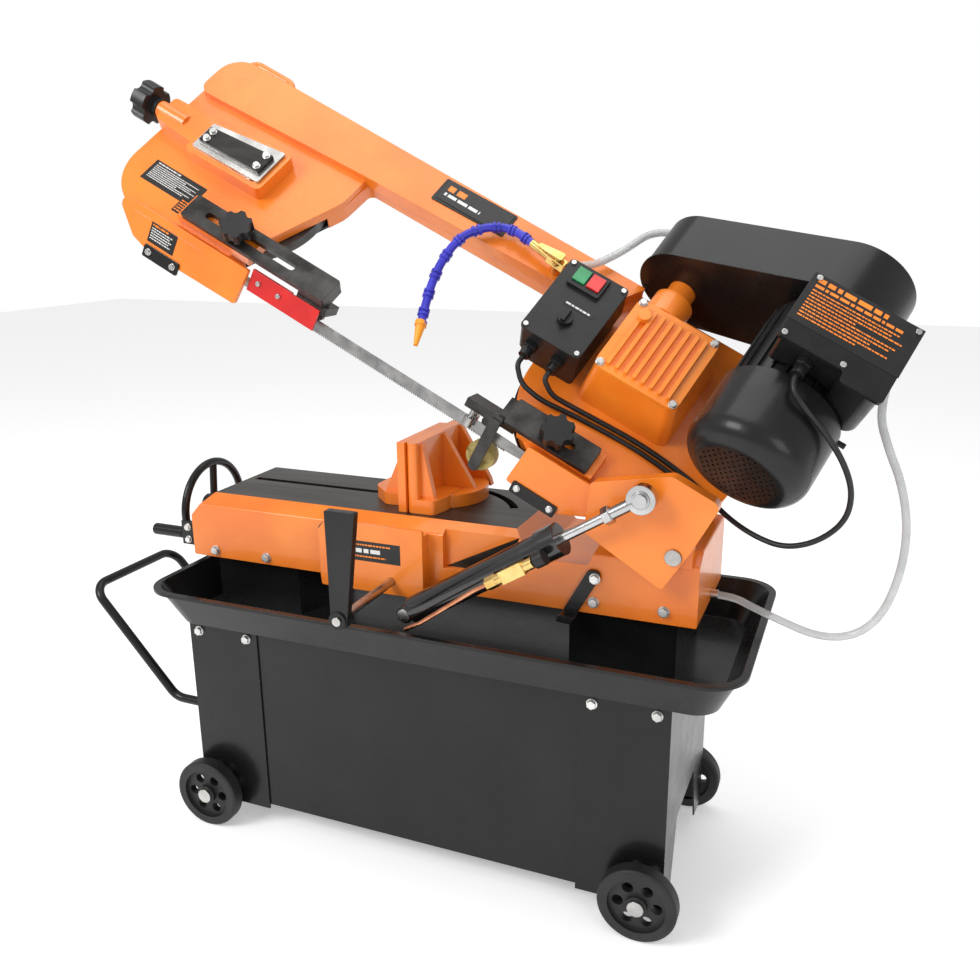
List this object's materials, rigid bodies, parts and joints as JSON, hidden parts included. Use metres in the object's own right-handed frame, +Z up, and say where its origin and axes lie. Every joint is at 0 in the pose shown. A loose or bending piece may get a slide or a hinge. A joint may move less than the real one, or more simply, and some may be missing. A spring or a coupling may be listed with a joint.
{
  "type": "horizontal metal-cutting band saw on a wheeled stand",
  "caption": "Horizontal metal-cutting band saw on a wheeled stand, head part raised, with a swivel vise, worm gearbox, belt drive, feed cylinder and coolant line.",
  "frame": {"origin": "on the floor under the middle of the machine box, hanging lines left out", "axes": "+X along the machine towards the head hinge, -Y towards the operator, +Z up"},
  "size_m": [1.4494, 0.5213, 1.3513],
  "materials": {
    "orange_paint": "gloss",
    "bright_orange": "gloss",
    "dark_sheet": "satin",
    "black_paint": "gloss",
    "steel": "brushed",
    "zinc": "satin",
    "cast_iron": "matte",
    "tyre": "matte",
    "rubber": "matte",
    "brass": "satin",
    "copper": "satin",
    "cylinder_paint": "gloss",
    "red_paint": "gloss",
    "red_plastic": "gloss",
    "green_plastic": "gloss",
    "blue_plastic": "satin",
    "clear_plastic": "gloss",
    "bristle": "matte"
  },
  "bodies": {
    "base": {"stand_legs": "dark_sheet", "stand_panels": "dark_sheet", "chip_tray": "dark_sheet", "pedestals": "dark_sheet", "bed_casting": "orange_paint", "steel_shafts": "steel", "transport_handle": "black_paint", "base_bolts": "zinc", "coolant_unit": "black_paint"},
    "wheel_front_left": {"wheel_front_left": "tyre"},
    "wheel_front_right": {"wheel_front_right": "tyre"},
    "wheel_rear_left": {"wheel_rear_left": "tyre"},
    "wheel_rear_right": {"wheel_rear_right": "tyre"},
    "movable_jaw": {"movable_jaw": "orange_paint"},
    "screw": {"handwheel": "black_paint", "vise_screw": "steel"},
    "crank_grip": {"crank_grip": "black_paint"},
    "fixed_jaw": {"fixed_jaw": "orange_paint"},
    "stop_rod": {"stop_rod": "steel"},
    "stop_arm": {"stop_arm": "black_paint"},
    "head": {"head_casting": "orange_paint", "blade_cover": "dark_sheet", "blade": "steel", "gearbox": "orange_paint", "gearbox_cover": "bright_orange", "drive_belt": "rubber", "belt_cover": "dark_sheet", "motor": "black_paint", "terminal_box": "black_paint", "switch_box": "black_paint", "cable_glands": "black_paint", "switch_leads": "rubber", "motor_cord": "rubber", "clear_hose": "clear_plastic", "coolant_hose": "blue_plastic", "black_plates": "black_paint", "head_screws": "zinc", "tracking_plate": "black_paint"},
    "cylinder": {"cylinder_tube": "cylinder_paint", "feed_valve": "brass", "copper_pipe": "copper"},
    "piston": {"cylinder_rod": "steel"},
    "valve_knob": {"valve_knob": "black_paint"},
    "idler_slide": {"idler_slide": "steel"},
    "tension_knob": {"tension_knob": "black_paint"},
    "idler": {"idler_wheel": "cast_iron"},
    "drive": {"drive_wheel": "cast_iron"},
    "worm": {"worm_shaft": "steel"},
    "rotor": {"motor_shaft": "steel"},
    "left_arm": {"left_guide_arm": "steel", "left_guide": "steel", "blade_guard": "red_paint"},
    "right_arm": {"right_guide_arm": "steel", "right_guide": "steel"},
    "left_knob": {"left_guide_knob": "black_paint"},
    "right_knob": {"right_guide_knob": "black_paint"},
    "brush": {"chip_brush": "bristle"},
    "start_button": {"start_button": "green_plastic"},
    "stop_button": {"stop_button": "red_plastic"},
    "coolant_switch": {"coolant_switch": "black_paint"}
  },
  "joints": [
    {"name": "roll_front_left", "type": "hinge", "parent": "base", "child": "wheel_front_left", "pos_m": [-0.404, -0.1405, 0.0635], "axis": [0, 1, 0], "continuous": true},
    {"name": "roll_front_right", "type": "hinge", "parent": "base", "child": "wheel_front_right", "pos_m": [0.404, -0.1405, 0.0635], "axis": [0, 1, 0], "continuous": true},
    {"name": "roll_rear_left", "type": "hinge", "parent": "base", "child": "wheel_rear_left", "pos_m": [-0.404, 0.2405, 0.0635], "axis": [0, 1, 0], "continuous": true},
    {"name": "roll_rear_right", "type": "hinge", "parent": "base", "child": "wheel_rear_right", "pos_m": [0.404, 0.2405, 0.0635], "axis": [0, 1, 0], "continuous": true},
    {"name": "jaw_slide", "type": "slide", "parent": "base", "child": "movable_jaw", "axis": [-1, 0, 0], "range_m": [0, 0.29]},
    {"name": "handwheel_turn", "type": "hinge", "parent": "base", "child": "screw", "pos_m": [-0.505, 0.068, 0.55], "axis": [1, 0, 0], "range_deg": [-20881, 1]},
    {"name": "crank_grip_turn", "type": "hinge", "parent": "screw", "child": "crank_grip", "pos_m": [-0.55, -0.00813, 0.5145], "axis": [1, 0, 0], "continuous": true},
    {"name": "jaw_swivel", "type": "hinge", "parent": "base", "child": "fixed_jaw", "pos_m": [-0.024, -0.014, 0.62], "axis": [0, 0, 1], "range_deg": [-45, 0]},
    {"name": "stop_rod_slide", "type": "slide", "parent": "base", "child": "stop_rod", "axis": [0, 1, 0], "range_m": [-0.04, 0.05]},
    {"name": "stop_arm_turn", "type": "hinge", "parent": "stop_rod", "child": "stop_arm", "pos_m": [-0.036, -0.25, 0.513], "axis": [0, 1, 0], "range_deg": [-120, 120]},
    {"name": "head_lift", "type": "hinge", "parent": "base", "child": "head", "pos_m": [0.425, 0.05, 0.62], "axis": [0, 1, 0], "range_deg": [-27, 25], "deforming": ["clear_hose"]},
    {"name": "cylinder_swing", "type": "hinge", "parent": "base", "child": "cylinder", "pos_m": [0.011, -0.127, 0.48], "axis": [0, 1, 0], "range_deg": [-1.5, 1.5]},
    {"name": "piston_slide", "type": "slide", "parent": "cylinder", "child": "piston", "axis": [0.8506, 0, 0.5259], "range_m": [-0.05, 0.05]},
    {"name": "valve_turn", "type": "hinge", "parent": "cylinder", "child": "valve_knob", "pos_m": [0.24826, -0.166, 0.61729], "axis": [0.8506, 0, 0.5259], "range_deg": [-270, 270]},
    {"name": "blade_tension", "type": "slide", "parent": "head", "child": "idler_slide", "axis": [0.887, 0, -0.4617], "range_m": [0, 0.006]},
    {"name": "tension_turn", "type": "hinge", "parent": "head", "child": "tension_knob", "pos_m": [-0.50659, 0.01968, 1.26682], "axis": [0.887, 0, -0.4617], "range_deg": [-1500, 10]},
    {"name": "idler_spin", "type": "hinge", "parent": "idler_slide", "child": "idler", "pos_m": [-0.34894, 0.0363, 1.13653], "axis": [0.3265, -0.7071, 0.6272], "continuous": true},
    {"name": "drive_spin", "type": "hinge", "parent": "head", "child": "drive", "pos_m": [0.32519, 0.0363, 0.7856], "axis": [0.3265, -0.7071, 0.6272], "continuous": true},
    {"name": "worm_spin", "type": "hinge", "parent": "head", "child": "worm", "pos_m": [0.38129, 0.12716, 0.98], "axis": [0.3265, 0.7071, 0.6272], "continuous": true},
    {"name": "motor_spin", "type": "hinge", "parent": "head", "child": "rotor", "pos_m": [0.60446, 0.06069, 0.93876], "axis": [0.3265, 0.7071, 0.6272], "continuous": true},
    {"name": "left_arm_slide", "type": "slide", "parent": "head", "child": "left_arm", "axis": [0.887, 0, -0.4617], "range_m": [-0.05, 0.05]},
    {"name": "right_arm_slide", "type": "slide", "parent": "head", "child": "right_arm", "axis": [0.887, 0, -0.4617], "range_m": [-0.024, 0]},
    {"name": "left_knob_turn", "type": "hinge", "parent": "head", "child": "left_knob", "pos_m": [-0.28415, -0.08639, 1.06174], "axis": [0.3265, -0.7071, 0.6272], "range_deg": [-180, 360]},
    {"name": "right_knob_turn", "type": "hinge", "parent": "head", "child": "right_knob", "pos_m": [0.23952, -0.07366, 0.77479], "axis": [0.3265, -0.7071, 0.6272], "range_deg": [-180, 360]},
    {"name": "brush_spin", "type": "hinge", "parent": "right_arm", "child": "brush", "pos_m": [0.11964, -0.068, 0.73725], "axis": [0, 1, 0], "continuous": true},
    {"name": "start_button_press", "type": "slide", "parent": "head", "child": "start_button", "axis": [-0.3265, 0.7071, -0.6272], "range_m": [0, 0.003], "stiffness_N_per_m": 300, "springref_m": -0.001},
    {"name": "stop_button_press", "type": "slide", "parent": "head", "child": "stop_button", "axis": [-0.3265, 0.7071, -0.6272], "range_m": [0, 0.003], "stiffness_N_per_m": 300, "springref_m": -0.001},
    {"name": "coolant_switch_turn", "type": "hinge", "parent": "head", "child": "coolant_switch", "pos_m": [0.229, -0.00719, 0.93651], "axis": [0.3265, -0.7071, 0.6272], "range_deg": [0, 90]}
  ],
  "couplings": [
    {"joint": "handwheel_turn", "follows": "jaw_slide", "rad_per_m": -1256.6},
    {"joint": "cylinder_swing", "follows": "head_lift", "ratio": 0.02},
    {"joint": "piston_slide", "follows": "head_lift", "m_per_rad": 0.0957},
    {"joint": "tension_turn", "follows": "blade_tension", "rad_per_m": -4188.8},
    {"joint": "idler_spin", "follows": "drive_spin", "ratio": 1},
    {"joint": "worm_spin", "follows": "drive_spin", "ratio": 24},
    {"joint": "motor_spin", "follows": "drive_spin", "ratio": 28.571}
  ]
}
